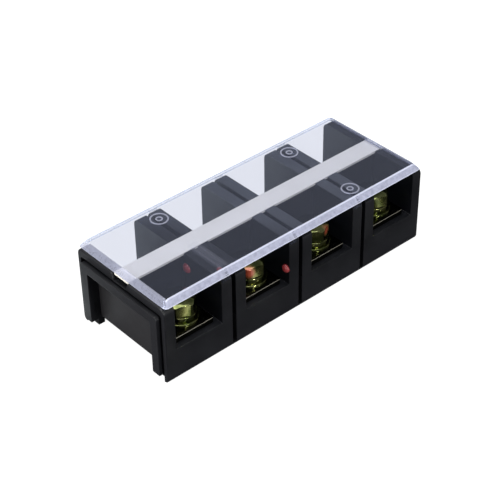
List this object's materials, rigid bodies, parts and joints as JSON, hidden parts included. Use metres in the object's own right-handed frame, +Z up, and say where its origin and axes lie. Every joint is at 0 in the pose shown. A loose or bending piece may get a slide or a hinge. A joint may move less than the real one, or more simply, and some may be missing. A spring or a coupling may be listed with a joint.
{
  "type": "terminal block",
  "caption": "Black high-current terminal block with a row of bolt poles, a clear clip-on lid, a blank white marking strip and yellow-passivated hexagon bolts on flat busbars.",
  "frame": {"origin": "centre of the base's bottom, under the middle of the row", "axes": "+X along the row of poles, +Y to the back (the fitted bolts are in the front bays, at -Y), +Z up from the feet"},
  "size_m": [0.204, 0.078, 0.0567],
  "materials": {
    "moulding": "black thermoset moulding with a fine satin grain",
    "clear_cover": "clear injection-moulded plastic with a faint lavender tint",
    "strip_white": "plain white plastic, blank",
    "plated_bar": "tin-plated flat bar, soft sheen with an olive tinge",
    "passivated_zinc": "yellow-passivated zinc with a greenish gold lustre"
  },
  "bodies": {
    "base": {"base": "moulding", "marking_strip": "strip_white", "busbar_1": "plated_bar", "front_nut_1": "passivated_zinc", "rear_nut_1": "passivated_zinc", "busbar_screw_1": "passivated_zinc", "busbar_2": "plated_bar", "front_nut_2": "passivated_zinc", "rear_nut_2": "passivated_zinc", "busbar_screw_2": "passivated_zinc", "busbar_3": "plated_bar", "front_nut_3": "passivated_zinc", "rear_nut_3": "passivated_zinc", "busbar_screw_3": "passivated_zinc", "busbar_4": "plated_bar", "front_nut_4": "passivated_zinc", "rear_nut_4": "passivated_zinc", "busbar_screw_4": "passivated_zinc"},
    "cover": {"cover": "clear_cover"},
    "washers_1": {"flat_washer_1": "passivated_zinc", "spring_washer_1": "passivated_zinc"},
    "bolt_1": {"terminal_bolt_1": "passivated_zinc"},
    "washers_2": {"flat_washer_2": "passivated_zinc", "spring_washer_2": "passivated_zinc"},
    "bolt_2": {"terminal_bolt_2": "passivated_zinc"},
    "washers_3": {"flat_washer_3": "passivated_zinc", "spring_washer_3": "passivated_zinc"},
    "bolt_3": {"terminal_bolt_3": "passivated_zinc"},
    "washers_4": {"flat_washer_4": "passivated_zinc", "spring_washer_4": "passivated_zinc"},
    "bolt_4": {"terminal_bolt_4": "passivated_zinc"}
  },
  "joints": [
    {"name": "cover_lift", "type": "slide", "parent": "base", "child": "cover", "axis": [0, 0, 1], "range_m": [0, 0.06]},
    {"name": "washers_rise_1", "type": "slide", "parent": "base", "child": "washers_1", "axis": [0, 0, 1], "range_m": [0, 0.007]},
    {"name": "bolt_turn_1", "type": "hinge", "parent": "washers_1", "child": "bolt_1", "pos_m": [-0.07612, -0.0215, 0.0355], "axis": [0, 0, 1], "range_deg": [0, 1450]},
    {"name": "washers_rise_2", "type": "slide", "parent": "base", "child": "washers_2", "axis": [0, 0, 1], "range_m": [0, 0.007]},
    {"name": "bolt_turn_2", "type": "hinge", "parent": "washers_2", "child": "bolt_2", "pos_m": [-0.02538, -0.0215, 0.0355], "axis": [0, 0, 1], "range_deg": [0, 1450]},
    {"name": "washers_rise_3", "type": "slide", "parent": "base", "child": "washers_3", "axis": [0, 0, 1], "range_m": [0, 0.007]},
    {"name": "bolt_turn_3", "type": "hinge", "parent": "washers_3", "child": "bolt_3", "pos_m": [0.02538, -0.0215, 0.0355], "axis": [0, 0, 1], "range_deg": [0, 1450]},
    {"name": "washers_rise_4", "type": "slide", "parent": "base", "child": "washers_4", "axis": [0, 0, 1], "range_m": [0, 0.007]},
    {"name": "bolt_turn_4", "type": "hinge", "parent": "washers_4", "child": "bolt_4", "pos_m": [0.07612, -0.0215, 0.0355], "axis": [0, 0, 1], "range_deg": [0, 1450]}
  ],
  "couplings": [
    {"joint": "bolt_turn_1", "follows": "washers_rise_1", "rad_per_m": 3590.4},
    {"joint": "bolt_turn_2", "follows": "washers_rise_2", "rad_per_m": 3590.4},
    {"joint": "bolt_turn_3", "follows": "washers_rise_3", "rad_per_m": 3590.4},
    {"joint": "bolt_turn_4", "follows": "washers_rise_4", "rad_per_m": 3590.4}
  ]
}
